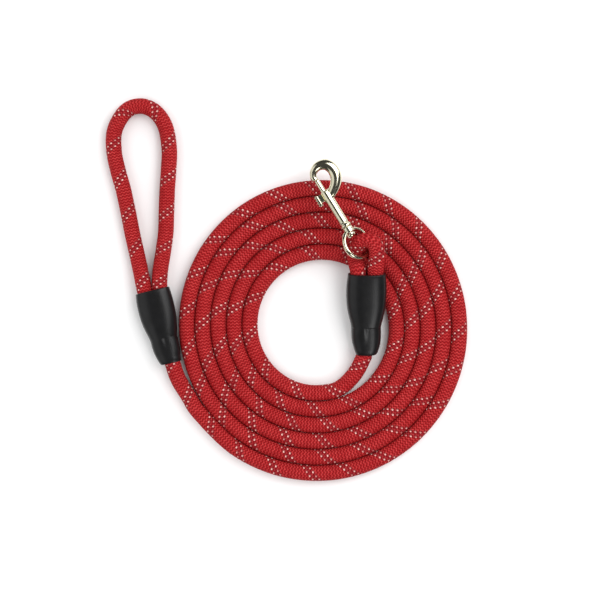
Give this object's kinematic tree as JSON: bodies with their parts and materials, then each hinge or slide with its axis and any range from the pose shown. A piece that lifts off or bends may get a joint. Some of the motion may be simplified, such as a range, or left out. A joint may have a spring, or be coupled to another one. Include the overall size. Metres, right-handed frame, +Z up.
{
  "type": "training leash",
  "caption": "Braided rope training leash lying in a flat coil, with a hand loop, moulded covers over both joins and a swivel bolt snap.",
  "frame": {"origin": "on the surface the leash lies on, under the middle of everything but its free rope", "axes": "+Z up from the surface; +Y the way the hand loop points; +X from the hand loop across the coil towards the snap's cover"},
  "size_m": [0.2908, 0.3018, 0.0387],
  "materials": {
    "rope": "matte",
    "cover": "matte",
    "band": "satin",
    "plated": "satin",
    "spring": "satin"
  },
  "bodies": {
    "leash": {"hand_loop": "rope", "free_rope_start": "rope", "rope_coil": "rope", "free_rope_end": "rope", "snap_loop": "rope", "handle_cover": "cover", "handle_band": "band", "snap_cover": "cover", "snap_band": "band"},
    "eye": {"swivel_eye": "plated"},
    "snap": {"snap_body": "plated", "bolt_spring": "spring"},
    "plunger": {"bolt": "plated", "thumb_knob": "plated"}
  },
  "joints": [
    {"name": "eye_swing", "type": "hinge", "parent": "leash", "child": "eye", "pos_m": [0.08992, -0.01349, 0.02883], "axis": [0.848, 0.5299, 0], "range_deg": [0, 15]},
    {"name": "snap_swivel", "type": "hinge", "parent": "eye", "child": "snap", "pos_m": [0.0878, -0.0101, 0.029], "axis": [-0.5294, 0.8472, 0.0436], "continuous": true},
    {"name": "bolt_slide", "type": "slide", "parent": "snap", "child": "plunger", "axis": [0.5294, -0.8472, -0.0436], "range_m": [0, 0.0095], "stiffness_N_per_m": 350, "springref_m": -0.006, "deforming": ["bolt_spring"]}
  ]
}
